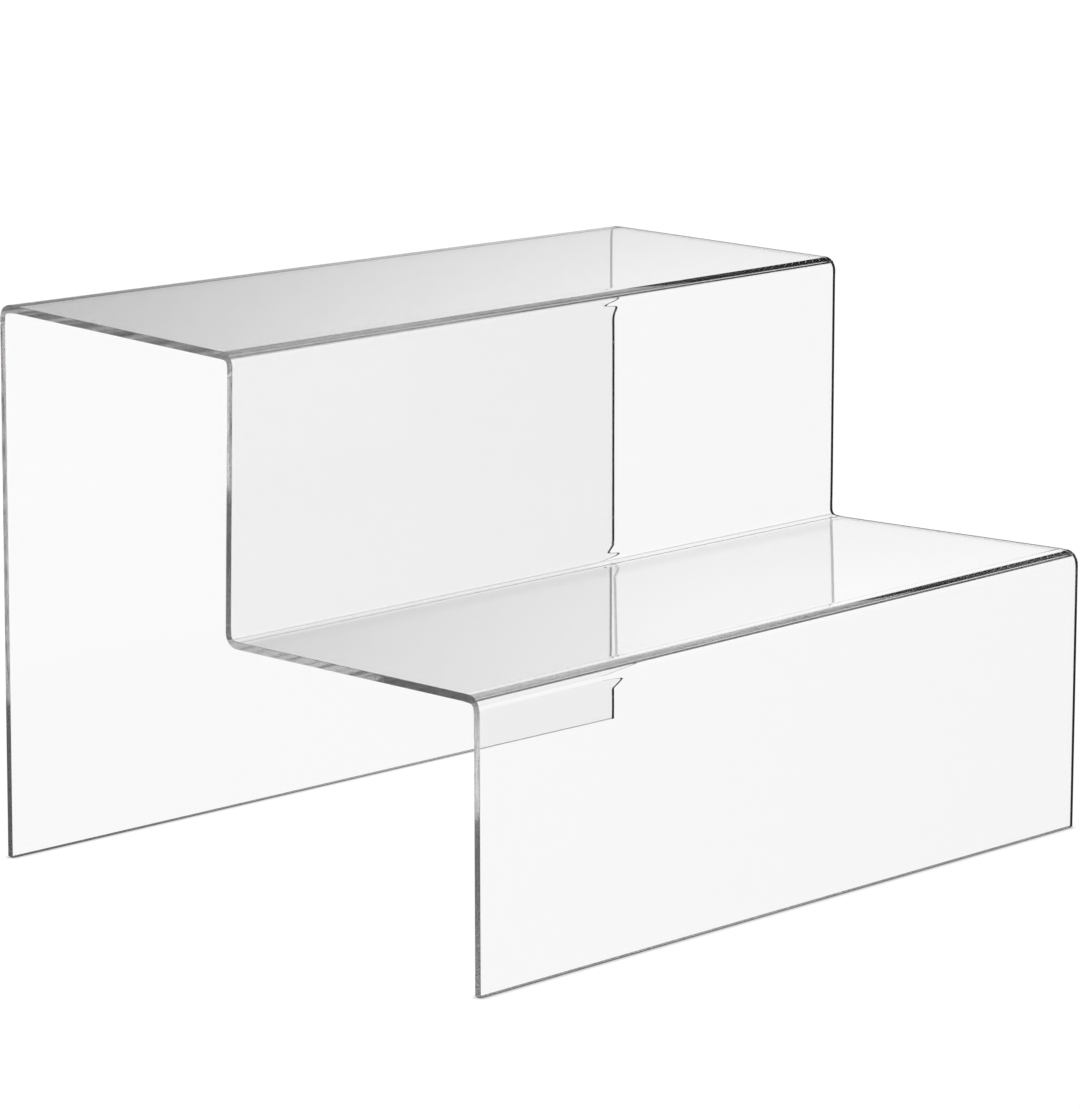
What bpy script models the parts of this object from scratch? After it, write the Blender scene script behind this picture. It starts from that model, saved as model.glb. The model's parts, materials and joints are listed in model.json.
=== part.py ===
"""Two-step shelf riser, line-bent from one flat sheet of clear acrylic.

The sheet runs up from the table as the back leg, forward as the top shelf,
down as the riser, forward as the lower shelf and down as the front leg.
Four heated bends run the whole length, and the cut edges of the two legs
stand on the table. Nothing is glued or screwed on, and nothing moves.

Metres. +X along the length, -Y towards the front, +Z up. The origin is on the
table, under the middle of the riser.
"""

import math

import bmesh
import bpy
from mathutils import Vector

# Driving dimensions
LENGTH = 0.385
DEPTH = 0.300
HEIGHT = 0.250
LOWER_SHELF_DEPTH = 0.150
LOWER_SHELF_HEIGHT = 0.126
SHEET_THICKNESS = 0.003

# The riser's foot sits a little behind its top, and the front leg's foot a
# little ahead of its top: line bends come out a degree or so off square.
RISER_LEAN = math.radians(1.0)
FRONT_LEG_SPLAY = math.radians(0.7)

# The sheet thins slightly where it is stretched round a bend, so the two
# radii differ by a little more than the thickness.
BEND_OUTER_RADIUS = 0.0065
BEND_INNER_RADIUS = 0.0032
BEND_SEGMENTS = 12

CLEAR_ACRYLIC = {
    "Base Color": (0.95, 0.96, 0.96, 1.0),
    "Roughness": 0.03,
    "Metallic": 0.0,
    "IOR": 1.49,
    "Transmission Weight": 1.0,
}


def clear_scene():
    for thing in list(bpy.data.objects):
        bpy.data.objects.remove(thing, do_unlink=True)


def fold_line():
    """(y, z) of the sheet's upper face at its foot, four folds and foot."""
    front, back = -DEPTH / 2, DEPTH / 2
    riser_foot = front + LOWER_SHELF_DEPTH
    riser_height = HEIGHT - LOWER_SHELF_HEIGHT
    riser_top = riser_foot - riser_height * math.tan(RISER_LEAN)
    front_leg_top = front + LOWER_SHELF_HEIGHT * math.tan(FRONT_LEG_SPLAY)
    return [
        (back, 0.0),
        (back, HEIGHT),
        (riser_top, HEIGHT),
        (riser_foot, LOWER_SHELF_HEIGHT),
        (front_leg_top, LOWER_SHELF_HEIGHT),
        (front, 0.0),
    ]


def folded_face(bm):
    """The upper face alone: the fold line drawn along the length."""
    line = [bm.verts.new((-LENGTH / 2, y, z)) for y, z in fold_line()]
    edges = [bm.edges.new(pair) for pair in zip(line, line[1:])]
    drawn = bmesh.ops.extrude_edge_only(bm, edges=edges)["geom"]
    moved = [item for item in drawn if isinstance(item, bmesh.types.BMVert)]
    bmesh.ops.translate(bm, verts=moved, vec=Vector((LENGTH, 0.0, 0.0)))
    bmesh.ops.recalc_face_normals(bm, faces=bm.faces)
    top_shelf = max(bm.faces, key=lambda face: face.calc_center_median().z)
    if top_shelf.normal.z < 0:
        bmesh.ops.reverse_faces(bm, faces=bm.faces)


def join_cut_ends(bm):
    """Makes each cut end of the sheet one face, so that its bends round cleanly."""
    for side in (-1, 1):
        end_faces = [face for face in bm.faces if face.normal.x * side > 0.9]
        bmesh.ops.dissolve_faces(bm, faces=end_faces)


def trim_feet(bm):
    """Cuts both legs off level, so each stands flat on the table."""
    for vert in bm.verts:
        if abs(vert.co.z) < SHEET_THICKNESS / 2:
            vert.co.z = 0.0


def round_bends(bm):
    """Rounds the long edges at the folds, by the outer or the inner radius."""
    outer, inner = [], []
    for edge in bm.edges:
        start, end = (vert.co for vert in edge.verts)
        at_a_fold = min(start.z, end.z) > SHEET_THICKNESS and abs(start.x - end.x) > LENGTH / 2
        if at_a_fold:
            (outer if edge.is_convex else inner).append(edge)
    for edges, radius in ((outer, BEND_OUTER_RADIUS), (inner, BEND_INNER_RADIUS)):
        bmesh.ops.bevel(
            bm,
            geom=edges,
            offset=radius,
            offset_type="OFFSET",
            segments=BEND_SEGMENTS,
            profile=0.5,
            affect="EDGES",
            clamp_overlap=True,
            material=-1,
        )


def clear_acrylic():
    material = bpy.data.materials.new("clear_acrylic")
    material.use_nodes = True
    shader = material.node_tree.nodes["Principled BSDF"]
    for socket, value in CLEAR_ACRYLIC.items():
        shader.inputs[socket].default_value = value
    return material


def bent_sheet():
    """The whole riser: one sheet, folded, given its thickness, and rounded."""
    bm = bmesh.new()
    folded_face(bm)
    bmesh.ops.solidify(bm, geom=bm.faces[:], thickness=SHEET_THICKNESS)
    bmesh.ops.recalc_face_normals(bm, faces=bm.faces)
    trim_feet(bm)
    join_cut_ends(bm)
    round_bends(bm)
    mesh = bpy.data.meshes.new("bent_sheet")
    bm.to_mesh(mesh)
    bm.free()
    mesh.shade_smooth()
    mesh.set_sharp_from_angle(angle=math.radians(30))
    mesh.materials.append(clear_acrylic())
    sheet = bpy.data.objects.new("bent_sheet", mesh)
    bpy.context.scene.collection.objects.link(sheet)
    return sheet


def main():
    clear_scene()
    bent_sheet()


main()
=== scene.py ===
"""The looks of a two-step shelf riser: one sheet of clear acrylic, line-bent four times.

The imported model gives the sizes. The sheet is made again here with the slight twist, the
eased bends and the broken arrises of a real one, and gets its clear and cut-edge finishes.
"""

import json
import math

import bmesh
import bpy
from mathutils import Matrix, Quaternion, Vector
from mathutils.geometry import intersect_point_line


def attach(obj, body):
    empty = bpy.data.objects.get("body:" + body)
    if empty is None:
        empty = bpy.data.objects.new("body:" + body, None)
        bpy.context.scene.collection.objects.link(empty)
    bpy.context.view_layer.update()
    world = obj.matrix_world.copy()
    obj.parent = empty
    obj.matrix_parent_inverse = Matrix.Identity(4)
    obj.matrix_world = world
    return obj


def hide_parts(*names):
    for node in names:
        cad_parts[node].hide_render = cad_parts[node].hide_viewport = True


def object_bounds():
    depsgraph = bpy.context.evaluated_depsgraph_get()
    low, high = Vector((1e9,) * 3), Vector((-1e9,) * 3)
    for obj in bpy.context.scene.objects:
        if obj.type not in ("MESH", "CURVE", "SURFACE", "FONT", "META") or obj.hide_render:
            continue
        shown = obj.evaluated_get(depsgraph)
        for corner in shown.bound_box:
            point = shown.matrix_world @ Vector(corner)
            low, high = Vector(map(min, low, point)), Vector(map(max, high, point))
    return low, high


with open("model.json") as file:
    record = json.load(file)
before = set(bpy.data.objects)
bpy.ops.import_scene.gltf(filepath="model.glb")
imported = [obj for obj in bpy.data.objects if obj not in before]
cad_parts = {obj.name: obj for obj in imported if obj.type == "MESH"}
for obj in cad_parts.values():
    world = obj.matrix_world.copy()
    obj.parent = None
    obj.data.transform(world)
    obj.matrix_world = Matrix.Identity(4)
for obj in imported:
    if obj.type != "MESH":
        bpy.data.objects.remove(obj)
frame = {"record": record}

cad_low, cad_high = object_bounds()
mounts = {mount["name"]: mount for mount in frame["record"]["mounts"]}

# The sheet, in metres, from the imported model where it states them
LENGTH = cad_high.x - cad_low.x
DEPTH = cad_high.y - cad_low.y
HEIGHT = mounts["top_shelf"]["pos_m"][2]
LOWER_SHELF_HEIGHT = mounts["lower_shelf"]["pos_m"][2]
LOWER_SHELF_DEPTH = DEPTH / 2
# Cast sheet sold as 3 mm often comes out a little thicker.
SHEET_THICKNESS = 0.0033
RISER_LEAN = math.radians(1.0)
FRONT_LEG_SPLAY = math.radians(0.7)
BEND_OUTER_RADIUS = 0.0065
BEND_INNER_RADIUS = 0.0026
# The sheet is heated over a strip wider than the bend, so the flats ease into it. The
# inside swells, and the swelling dies out on the flats.
BEND_STEP = 0.00025
BEND_REACH = 0.005
EASING_PASSES = 8
EASING_FACTOR = 0.5
SWELLING = 0.0002
SWELLING_REACH = 0.004
ARRIS = 0.00018
ARRIS_SEGMENTS = 2
ARRIS_ANGLE = math.radians(60)
STRIPS_ALONG = 40
STRIPS_ACROSS_PANEL = 8
CUT_TOLERANCE = 0.000001
ROUND_PROFILE = 0.5
# Shading breaks at edges sharper than this, and large flat faces rule it elsewhere.
SHARP_ANGLE = math.radians(15)
FLAT_FACES_WEIGHT = 100
# A face belongs to a cut end when its normal points at least this far along the length,
# and to a foot when it points at least this far down.
END_FACING = 0.9
FOOT_FACING = 0.2
# Each face's place in the sheet's list of materials
CLEAR, CUT, SAWN_AND_SHADED = range(3)

# How far each fold came out from true, in metres, (back, up): foot, four folds and foot.
# Hand bending leaves the riser with a slight twist from one end to the other.
LEFT_END = [(0.0005, 0), (0, 0), (0, -0.004), (0, -0.0025), (0, -0.0015), (0, 0)]
RIGHT_END = [(-0.003, 0), (0, 0), (0.003, -0.001), (0, -0.0005), (0, 0.0035), (0, 0)]

# The camera. Lens and sensor are in millimetres, and the rest in metres.
CAMERA_AZIMUTH = math.radians(-45.6)
CAMERA_ELEVATION = math.radians(11.64)
CAMERA_DISTANCE = 2.096
CAMERA_ROLL = math.radians(0.42)
CAMERA_LENS = 151.4
CAMERA_SENSOR = 36.0
AIM_RIGHT = -0.0049
AIM_UP = 0.0079

# Finishes. Scales are waves per metre, and depths and heights are in metres.
ACRYLIC_IOR = 1.49
CLEAR_COLOUR = (1.0, 1.0, 1.0, 1.0)
CUT_COLOUR = (0.9, 0.9, 0.9, 1.0)
# The front foot's mid grey is painted shade along where it meets the table; its roughness is the
# saw's.
SAWN_AND_PAINTED_SHADE_COLOUR = (0.5, 0.5, 0.5, 1.0)
NOISE_DETAIL = 2.0
NOISE_MIDDLE = 0.5
WAVINESS_SCALE = 55.0
WAVINESS_DEPTH = 0.000003
SPECK_SCALE = 700.0
SPECK_START = 0.74
SPECK_FULL = 0.78
SPECK_ROUGHNESS = 0.15
SCRATCH_SCALE = 30.0
SCRATCH_STRETCH = (1.0, 9.0, 9.0)
SCRATCH_HALF_WIDTH = 0.0015
SCRATCH_ROUGHNESS = 0.1
MARK_START = 0.3
MARK_FULL = 0.7
EDGE_MARK_SCALE = 250.0
EDGE_MARK_STRETCH = (1.0, 3.0, 0.4)
EDGE_MARK_DEPTH = 0.000002
EDGE_ROUGHNESS_LOW = 0.05
EDGE_ROUGHNESS_HIGH = 0.12
SAW_MARK_SCALE = 600.0
SAW_MARK_STRETCH = (1.0, 0.1, 1.0)
SAW_MARK_DEPTH = 0.00001
SAW_ROUGHNESS_LOW = 0.22
SAW_ROUGHNESS_HIGH = 0.4

# The studio. F is how far a direction points away behind the object, S how far to its
# right, and UP how far it rises.
FLOOR_SIZE = 60.0
FLOOR_GAP = 0.0004
CONTACT_SHADOW_REACH = 0.003
BACKGROUND_WHITE = 1.03
# The table is dark round the object and brightens away behind it.
TABLE_START = 0.3
TABLE_FULL = 0.92
TABLE_DARK = 0.02
TABLE_BRIGHT = 1.035
TABLE_RIGHT = 0.04
HORIZON_SOFT = 0.04
# The wall behind the object is dark on the left and lit on the right, more so higher up.
WALL_EDGE_START = -0.14
WALL_EDGE_FULL = 0.05
WALL_DARK = 0.12
WALL_BRIGHT_LOW = 0.62
WALL_BRIGHT_HIGH = 0.9
WALL_LOW = 0.1
WALL_HIGH = 0.22
WALL_TOP_START = 0.35
WALL_TOP_END = 0.5
WALL_FACING_START = 0.55
WALL_FACING_FULL = 0.95
# The rest of the room is dim, but for a softbox high on the right.
ROOM_DARK = 0.02
SOFTBOX = 0.35
SOFTBOX_RIGHT_START = 0.4
SOFTBOX_RIGHT_FULL = 0.62
SOFTBOX_UP_START = 0.35
SOFTBOX_UP_FULL = 0.6
# What comes straight through the sheet is white, but for light that a bend has thrown
# steeply up or down while it slants this far along the length.
SLANT_START = 0.5
SLANT_FULL = 0.6
SLANT_FULL_END = 0.8
SLANT_END = 0.9
STEEP_DOWN = -0.5
LEVEL_FROM = -0.4
LEVEL_TO = 0.12
STEEP_UP = 0.2
LIGHT_BOUNCES = 128


# ---------------------------------------------------------------- the sheet


def fold_line():
    """(y, z) of the sheet's upper face at its foot, four folds and foot."""
    front, back = cad_low.y, cad_high.y
    riser_foot = front + LOWER_SHELF_DEPTH
    riser_top = riser_foot - (HEIGHT - LOWER_SHELF_HEIGHT) * math.tan(RISER_LEAN)
    front_leg_top = front + LOWER_SHELF_HEIGHT * math.tan(FRONT_LEG_SPLAY)
    return [
        (back, 0.0),
        (back, HEIGHT),
        (riser_top, HEIGHT),
        (riser_foot, LOWER_SHELF_HEIGHT),
        (front_leg_top, LOWER_SHELF_HEIGHT),
        (front, 0.0),
    ]


def fold_sheet(bm):
    """The folded sheet with its thickness and sharp folds."""
    line = [bm.verts.new((cad_low.x, y, z)) for y, z in fold_line()]
    edges = [bm.edges.new(pair) for pair in zip(line, line[1:])]
    drawn = bmesh.ops.extrude_edge_only(bm, edges=edges)["geom"]
    moved = [item for item in drawn if isinstance(item, bmesh.types.BMVert)]
    bmesh.ops.translate(bm, verts=moved, vec=Vector((LENGTH, 0.0, 0.0)))
    bmesh.ops.recalc_face_normals(bm, faces=bm.faces)
    top_shelf = max(bm.faces, key=lambda face: face.calc_center_median().z)
    if top_shelf.normal.z < 0:
        bmesh.ops.reverse_faces(bm, faces=bm.faces)
    bmesh.ops.solidify(bm, geom=bm.faces[:], thickness=SHEET_THICKNESS)
    bmesh.ops.recalc_face_normals(bm, faces=bm.faces)
    for vert in bm.verts:
        if abs(vert.co.z) < SHEET_THICKNESS / 2:
            vert.co.z = 0.0
    for side in (-1, 1):
        end_faces = [face for face in bm.faces if face.normal.x * side > END_FACING]
        bmesh.ops.dissolve_faces(bm, faces=end_faces)


def bevel(bm, edges, radius, segments):
    return bmesh.ops.bevel(
        bm,
        geom=edges,
        offset=radius,
        offset_type="OFFSET",
        segments=segments,
        profile=ROUND_PROFILE,
        affect="EDGES",
        clamp_overlap=True,
        material=-1,
    )


def runs_along(edge):
    start, end = (vert.co for vert in edge.verts)
    return abs(start.x - end.x) > LENGTH / 2


def round_bends(bm):
    """Rounds the long edges at the folds, by the outer or the inner radius."""
    outer, inner = [], []
    for edge in bm.edges:
        if runs_along(edge) and min(vert.co.z for vert in edge.verts) > SHEET_THICKNESS:
            (outer if edge.is_convex else inner).append(edge)
    for edges, radius in ((outer, BEND_OUTER_RADIUS), (inner, BEND_INNER_RADIUS)):
        bevel(bm, edges, radius, round(radius * math.pi / 2 / BEND_STEP))


def bend_corners():
    """Each fold's sharp outer corner, and the way from it to the inside of the bend."""
    line = fold_line()
    foot_y, foot_z = line[3]
    return [
        (line[1], (-1, -1)),
        (line[2], (1, -1)),
        ((foot_y + SHEET_THICKNESS, foot_z - SHEET_THICKNESS), (-1, 1)),
        (line[4], (1, -1)),
    ]


def into_bend(vert, bend):
    """How far this point lies in from a bend's outer corner, (across, down)."""
    (y, z), (inward_y, inward_z) = bend
    return (vert.co.y - y) * inward_y, (vert.co.z - z) * inward_z


def cut_across(bm, axis, place):
    """A ring of edges round the sheet where it crosses this plane."""
    normal = Vector((0, 0, 0))
    normal[axis] = 1
    everything = bm.verts[:] + bm.edges[:] + bm.faces[:]
    bmesh.ops.bisect_plane(
        bm, geom=everything, dist=CUT_TOLERANCE, plane_co=normal * place, plane_no=normal)


def ease_bends(bm):
    """Lets the flats run gently into each bend. The cut ends are left off meanwhile."""
    ends = [face for face in bm.faces if abs(face.normal.x) > END_FACING]
    bmesh.ops.delete(bm, geom=ends, context="FACES_ONLY")
    for (y, z), (inward_y, inward_z) in bend_corners():
        # The cuts start where the shorter of the bend's two arcs ends.
        reach = min(BEND_OUTER_RADIUS, SHEET_THICKNESS + BEND_INNER_RADIUS)
        while reach < BEND_OUTER_RADIUS + BEND_REACH:
            cut_across(bm, 1, y + inward_y * reach)
            cut_across(bm, 2, z + inward_z * reach)
            reach += BEND_STEP
    heated = []
    furthest = BEND_OUTER_RADIUS + BEND_REACH - BEND_STEP
    for vert in bm.verts:
        for bend in bend_corners():
            across, down = into_bend(vert, bend)
            if max(across, down) < furthest and min(across, down) > -SHEET_THICKNESS:
                heated.append(vert)
    for _ in range(EASING_PASSES):
        bmesh.ops.smooth_vert(
            bm,
            verts=heated,
            factor=EASING_FACTOR,
            use_axis_x=False,
            use_axis_y=True,
            use_axis_z=True,
        )
    rims = [edge for edge in bm.edges if edge.is_boundary]
    bmesh.ops.holes_fill(bm, edges=rims, sides=0)
    bmesh.ops.recalc_face_normals(bm, faces=bm.faces)


def swell_bends(bm):
    """Thickens the inside of each bend a little, fading out on the flats beside it."""
    bm.normal_update()
    moves = []
    for vert in bm.verts:
        for bend in bend_corners():
            across, down = into_bend(vert, bend)
            if min(across, down) < SHEET_THICKNESS / 2 or min(across, down) > 2 * SHEET_THICKNESS:
                continue
            past = (max(across, down) - BEND_OUTER_RADIUS) / SWELLING_REACH
            if past < 1:
                fade = min(1.0, 1.0 - past) ** 2
                flat = Vector((0, vert.normal.y, vert.normal.z)).normalized()
                moves.append((vert, flat * SWELLING * fade))
    for vert, move in moves:
        vert.co += move


def set_out_of_true(bm):
    """Moves each fold by its own error, blended from the left end to the right."""
    folds = [Vector((0, y, z)) for y, z in fold_line()]
    bend = BEND_OUTER_RADIUS + SWELLING_REACH
    for vert in bm.verts:
        place = Vector((0, vert.co.y, vert.co.z))
        nearest = None
        for index, (start, end) in enumerate(zip(folds, folds[1:])):
            share = min(max(intersect_point_line(place, start, end)[1], 0), 1)
            gap = (start.lerp(end, share) - place).length
            if nearest is None or gap < nearest[0]:
                nearest = gap, index, share * (end - start).length, (end - start).length
        gap, index, travelled, length = nearest
        first = bend if index > 0 else 0.0
        last = length - bend if index < len(folds) - 2 else length
        share = min(max((travelled - first) / (last - first), 0), 1)
        to_right = (vert.co.x - cad_low.x) / LENGTH
        for errors, weight in ((LEFT_END, 1 - to_right), (RIGHT_END, to_right)):
            near, far = (Vector((0, back, up)) for back, up in errors[index:index + 2])
            vert.co += near.lerp(far, share) * weight


def break_arrises(bm):
    """Takes the sharpness off every cut edge, as scraping does."""
    sharp = [edge for edge in bm.edges if edge.calc_face_angle(0.0) > ARRIS_ANGLE]
    bevel(bm, sharp, ARRIS, ARRIS_SEGMENTS)


def divide_panels(bm):
    """Fine strips along the length, and across each flat panel between its bends."""
    lengthwise = [edge for edge in bm.edges if runs_along(edge)]
    bmesh.ops.subdivide_edges(bm, edges=lengthwise, cuts=STRIPS_ALONG - 1, use_grid_fill=True)
    wide = LOWER_SHELF_HEIGHT / 2
    crosswise = [edge for edge in bm.edges if edge.calc_length() > wide]
    bmesh.ops.subdivide_edges(
        bm, edges=crosswise, cuts=STRIPS_ACROSS_PANEL - 1, use_grid_fill=True)


def choose_materials(bm):
    """Clear faces, cut ends and back foot, and the front foot sawn and greyed with painted shade.
    """
    for face in bm.faces:
        middle = face.calc_center_median()
        at_end = abs(face.normal.x) > END_FACING
        at_foot = face.normal.z < -FOOT_FACING and middle.z < SHEET_THICKNESS / 2
        if at_foot and middle.y < 0:
            face.material_index = SAWN_AND_SHADED
        elif at_end or at_foot:
            face.material_index = CUT
        else:
            face.material_index = CLEAR


def make_sheet(materials):
    bm = bmesh.new()
    fold_sheet(bm)
    round_bends(bm)
    ease_bends(bm)
    swell_bends(bm)
    break_arrises(bm)
    divide_panels(bm)
    set_out_of_true(bm)
    choose_materials(bm)
    mesh = bpy.data.meshes.new("clear_sheet")
    bm.to_mesh(mesh)
    bm.free()
    mesh.shade_smooth()
    mesh.set_sharp_from_angle(angle=SHARP_ANGLE)
    for material in materials:
        mesh.materials.append(material)
    sheet = bpy.data.objects.new("clear_sheet", mesh)
    bpy.context.scene.collection.objects.link(sheet)
    true_flats = sheet.modifiers.new("true_flats", "WEIGHTED_NORMAL")
    true_flats.mode = "FACE_AREA"
    true_flats.weight = FLAT_FACES_WEIGHT
    true_flats.keep_sharp = True
    return sheet


# ---------------------------------------------------------------- shader nodes


def math_node(nodes, links, operation, *values):
    """A Math node of this operation, each input given as a number or a socket."""
    node = nodes.new("ShaderNodeMath")
    node.operation = operation
    for socket, value in zip(node.inputs, values):
        if isinstance(value, (int, float)):
            socket.default_value = value
        else:
            links.new(value, socket)
    return node.outputs[0]


def along(nodes, links, vector, direction):
    """How far vector reaches in a fixed direction."""
    node = nodes.new("ShaderNodeVectorMath")
    node.operation = "DOT_PRODUCT"
    links.new(vector, node.inputs[0])
    node.inputs[1].default_value = direction
    return node.outputs["Value"]


def ramp(nodes, links, value, start, end, low, high):
    """A soft step from low to high as value goes from start to end."""
    node = nodes.new("ShaderNodeMapRange")
    node.interpolation_type = "SMOOTHSTEP"
    links.new(value, node.inputs["Value"])
    for name, number in (("From Min", start), ("From Max", end), ("To Min", low), ("To Max", high)):
        if isinstance(number, (int, float)):
            node.inputs[name].default_value = number
        else:
            links.new(number, node.inputs[name])
    return node.outputs["Result"]


def noise(nodes, links, scale, stretch=(1.0, 1.0, 1.0)):
    """Noise laid out on the sheet itself, stretched along its axes."""
    mapping = nodes.new("ShaderNodeMapping")
    mapping.inputs["Scale"].default_value = stretch
    links.new(nodes.new("ShaderNodeTexCoord").outputs["Object"], mapping.inputs["Vector"])
    texture = nodes.new("ShaderNodeTexNoise")
    texture.inputs["Scale"].default_value = scale
    texture.inputs["Detail"].default_value = NOISE_DETAIL
    links.new(mapping.outputs["Vector"], texture.inputs["Vector"])
    return texture.outputs["Fac"]


def relief(nodes, links, shader, height, depth):
    """Raises the surface by up to this depth."""
    bump = nodes.new("ShaderNodeBump")
    bump.inputs["Distance"].default_value = depth
    links.new(height, bump.inputs["Height"])
    links.new(bump.outputs["Normal"], shader.inputs["Normal"])


# ---------------------------------------------------------------- materials


def new_material(name):
    material = bpy.data.materials.new(name)
    material.use_nodes = True
    nodes = material.node_tree.nodes
    return material, nodes, material.node_tree.links, nodes["Principled BSDF"]


def new_acrylic(name, colour):
    """Acrylic that light passes through, before its surface is marked."""
    material, nodes, links, shader = new_material(name)
    shader.inputs["Base Color"].default_value = colour
    shader.inputs["IOR"].default_value = ACRYLIC_IOR
    shader.inputs["Transmission Weight"].default_value = 1.0
    return material, nodes, links, shader


def clear_acrylic():
    """Glass-clear faces, very slightly wavy, with a few specks and hairline scratches."""
    material, nodes, links, shader = new_acrylic("clear_acrylic", CLEAR_COLOUR)
    relief(nodes, links, shader, noise(nodes, links, WAVINESS_SCALE), WAVINESS_DEPTH)
    grains = noise(nodes, links, SPECK_SCALE)
    specks = ramp(nodes, links, grains, SPECK_START, SPECK_FULL, 0.0, SPECK_ROUGHNESS)
    across = noise(nodes, links, SCRATCH_SCALE, SCRATCH_STRETCH)
    off_line = math_node(nodes, links, "SUBTRACT", across, NOISE_MIDDLE)
    off_line = math_node(nodes, links, "ABSOLUTE", off_line)
    scratches = ramp(nodes, links, off_line, 0.0, SCRATCH_HALF_WIDTH, SCRATCH_ROUGHNESS, 0.0)
    links.new(math_node(nodes, links, "MAXIMUM", specks, scratches), shader.inputs["Roughness"])
    return material


def cut_edge():
    """The sheet's cut ends and back foot, scraped and polished along the edge."""
    material, nodes, links, shader = new_acrylic("cut_edge", CUT_COLOUR)
    marks = noise(nodes, links, EDGE_MARK_SCALE, EDGE_MARK_STRETCH)
    relief(nodes, links, shader, marks, EDGE_MARK_DEPTH)
    links.new(
        ramp(nodes, links, marks, MARK_START, MARK_FULL, EDGE_ROUGHNESS_LOW, EDGE_ROUGHNESS_HIGH),
        shader.inputs["Roughness"])
    return material


def sawn_foot_painted_shade():
    """The front foot's edge as the saw cut it, fine marks across the thickness, grey as painted
    shade.
    """
    material, nodes, links, shader = new_acrylic("sawn_foot_painted_shade", SAWN_AND_PAINTED_SHADE_COLOUR)
    marks = noise(nodes, links, SAW_MARK_SCALE, SAW_MARK_STRETCH)
    relief(nodes, links, shader, marks, SAW_MARK_DEPTH)
    links.new(
        ramp(nodes, links, marks, MARK_START, MARK_FULL, SAW_ROUGHNESS_LOW, SAW_ROUGHNESS_HIGH),
        shader.inputs["Roughness"])
    return material


# ---------------------------------------------------------------- studio


def view_axes():
    """Towards the camera, and the camera's right and up, before its roll."""
    back = Vector((
        math.sin(CAMERA_AZIMUTH) * math.cos(CAMERA_ELEVATION),
        -math.cos(CAMERA_AZIMUTH) * math.cos(CAMERA_ELEVATION),
        math.sin(CAMERA_ELEVATION),
    ))
    right = (-back).cross(Vector((0, 0, 1))).normalized()
    return back, right, right.cross(-back)


def make_camera():
    back, right, up = view_axes()
    data = bpy.data.cameras.new("camera")
    data.sensor_width = CAMERA_SENSOR
    data.lens = CAMERA_LENS
    camera = bpy.data.objects.new("camera", data)
    bpy.context.scene.collection.objects.link(camera)
    centre = (cad_low + cad_high) / 2
    camera.location = centre + back * CAMERA_DISTANCE + right * AIM_RIGHT + up * AIM_UP
    camera.rotation_mode = "QUATERNION"
    level = (-back).to_track_quat("-Z", "Y")
    camera.rotation_quaternion = Quaternion(-back, -CAMERA_ROLL) @ level
    bpy.context.scene.camera = camera


def studio_axes():
    """The level directions away behind the object and to its right."""
    back, right, _ = view_axes()
    return Vector((-back.x, -back.y, 0)).normalized(), right


def make_floor():
    """A plain white table top, which lets through whatever light the sheet throws on it."""
    bm = bmesh.new()
    bmesh.ops.create_grid(bm, x_segments=1, y_segments=1, size=FLOOR_SIZE / 2)
    bmesh.ops.translate(bm, verts=bm.verts, vec=Vector((0, 0, cad_low.z - FLOOR_GAP)))
    mesh = bpy.data.meshes.new("floor")
    bm.to_mesh(mesh)
    bm.free()
    material, nodes, links, shader = new_material("pale_floor")
    nodes.remove(shader)
    emission = nodes.new("ShaderNodeEmission")
    # Occlusion darkens the floor's even glow beside the sheet: a painted contact shadow.
    painted_contact_shadow = nodes.new("ShaderNodeAmbientOcclusion")
    painted_contact_shadow.inputs["Distance"].default_value = CONTACT_SHADOW_REACH
    links.new(painted_contact_shadow.outputs["Color"], emission.inputs["Color"])
    emission.inputs["Strength"].default_value = BACKGROUND_WHITE
    mix = nodes.new("ShaderNodeMixShader")
    links.new(nodes.new("ShaderNodeLightPath").outputs["Is Camera Ray"], mix.inputs[0])
    links.new(nodes.new("ShaderNodeBsdfTransparent").outputs[0], mix.inputs[1])
    links.new(emission.outputs[0], mix.inputs[2])
    links.new(mix.outputs[0], nodes["Material Output"].inputs["Surface"])
    mesh.materials.append(material)
    floor = bpy.data.objects.new("floor", mesh)
    bpy.context.scene.collection.objects.link(floor)


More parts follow.
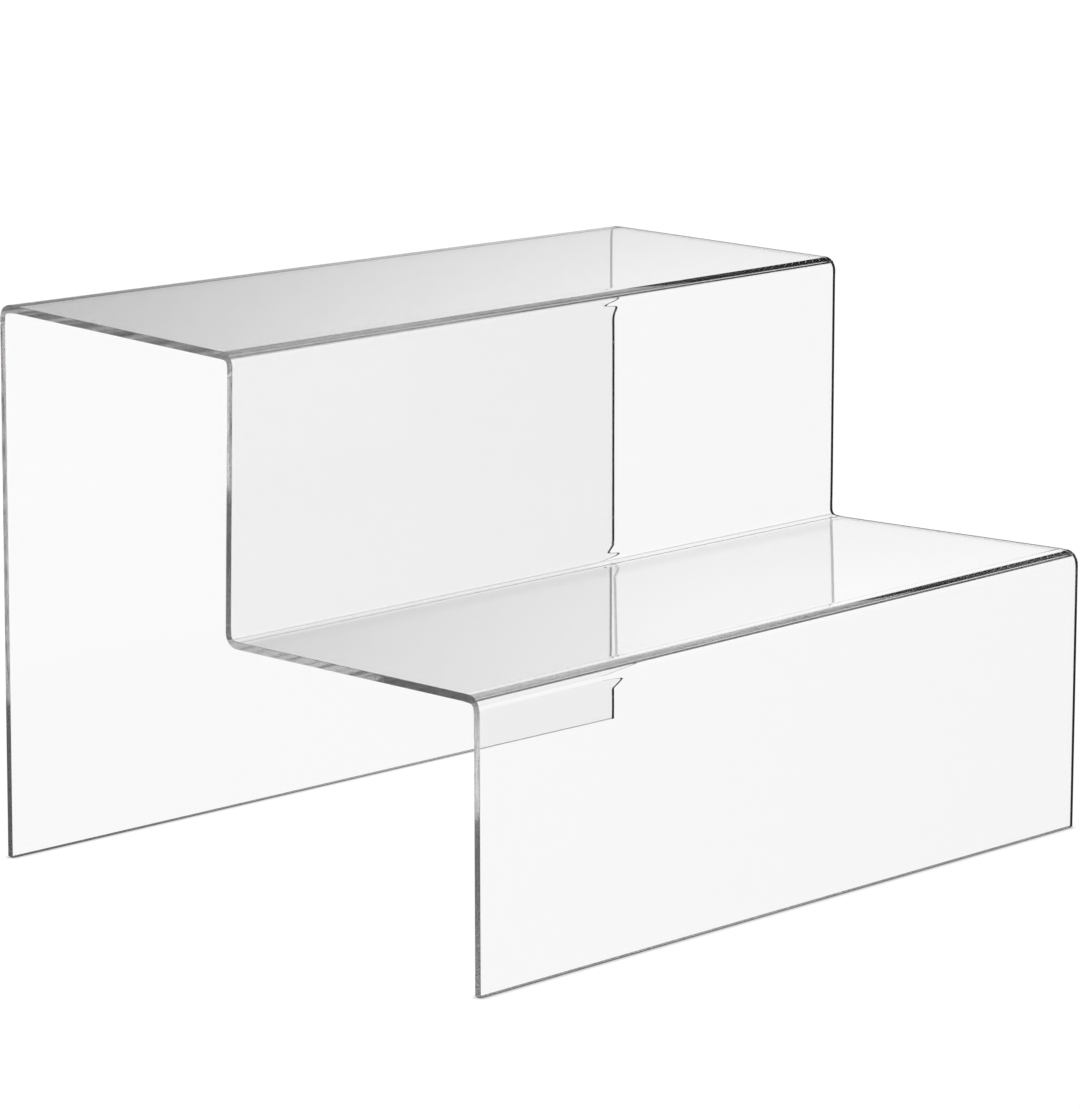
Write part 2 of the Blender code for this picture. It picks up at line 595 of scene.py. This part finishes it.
def make_world():
    """The studio: a lit table away behind the sheet, a wall lit on the right, a dim room."""
    world = bpy.data.worlds.new("studio")
    world.use_nodes = True
    nodes, links = world.node_tree.nodes, world.node_tree.links
    background = nodes["Background"]
    direction = nodes.new("ShaderNodeTexCoord").outputs["Generated"]
    ahead, right = studio_axes()
    f = along(nodes, links, direction, ahead)
    s = along(nodes, links, direction, right)
    up = along(nodes, links, direction, (0, 0, 1))
    beside = math_node(nodes, links, "MAXIMUM", s, 0.0)
    beside = math_node(nodes, links, "MULTIPLY", beside, beside)
    unlit = math_node(nodes, links, "MULTIPLY_ADD", beside, TABLE_RIGHT, TABLE_DARK)
    table = ramp(nodes, links, f, TABLE_START, TABLE_FULL, unlit, TABLE_BRIGHT)
    bright = ramp(nodes, links, up, WALL_LOW, WALL_HIGH, WALL_BRIGHT_LOW, WALL_BRIGHT_HIGH)
    wall = ramp(nodes, links, s, WALL_EDGE_START, WALL_EDGE_FULL, WALL_DARK, bright)
    facing = ramp(nodes, links, f, WALL_FACING_START, WALL_FACING_FULL, 0.0, 1.0)
    low = ramp(nodes, links, up, WALL_TOP_START, WALL_TOP_END, 1.0, 0.0)
    overhead = ramp(nodes, links, up, SOFTBOX_UP_START, SOFTBOX_UP_FULL, ROOM_DARK, SOFTBOX)
    room = ramp(nodes, links, s, SOFTBOX_RIGHT_START, SOFTBOX_RIGHT_FULL, ROOM_DARK, overhead)
    lit_wall = ramp(
        nodes, links, math_node(nodes, links, "MULTIPLY", facing, low), 0.0, 1.0, room, wall)
    studio = ramp(nodes, links, up, -HORIZON_SOFT, HORIZON_SOFT, table, lit_wall)
    slant = along(nodes, links, direction, (1, 0, 0))
    slanting = ramp(nodes, links, slant, SLANT_START, SLANT_FULL, 0.0, 1.0)
    slanting = ramp(nodes, links, slant, SLANT_FULL_END, SLANT_END, slanting, 0.0)
    steep = math_node(
        nodes, links, "ADD",
        ramp(nodes, links, up, STEEP_DOWN, LEVEL_FROM, 1.0, 0.0),
        ramp(nodes, links, up, LEVEL_TO, STEEP_UP, 0.0, 1.0))
    bent = math_node(nodes, links, "MULTIPLY", slanting, steep)
    depth = nodes.new("ShaderNodeLightPath").outputs["Glossy Depth"]
    mirrored = math_node(nodes, links, "GREATER_THAN", depth, 0.5)
    share = math_node(nodes, links, "MAXIMUM", bent, mirrored)
    level = ramp(nodes, links, share, 0.0, 1.0, BACKGROUND_WHITE, studio)
    links.new(level, background.inputs["Strength"])
    background.inputs["Color"].default_value = (1, 1, 1, 1)
    bpy.context.scene.world = world


# ---------------------------------------------------------------- the scene

sheet = make_sheet([clear_acrylic(), cut_edge(), sawn_foot_painted_shade()])
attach(sheet, "root")
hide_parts("bent_sheet")

make_floor()
make_world()
make_camera()

scene = bpy.context.scene
scene.view_settings.view_transform = "Standard"
scene.cycles.max_bounces = LIGHT_BOUNCES
scene.cycles.transmission_bounces = LIGHT_BOUNCES
scene.cycles.glossy_bounces = LIGHT_BOUNCES
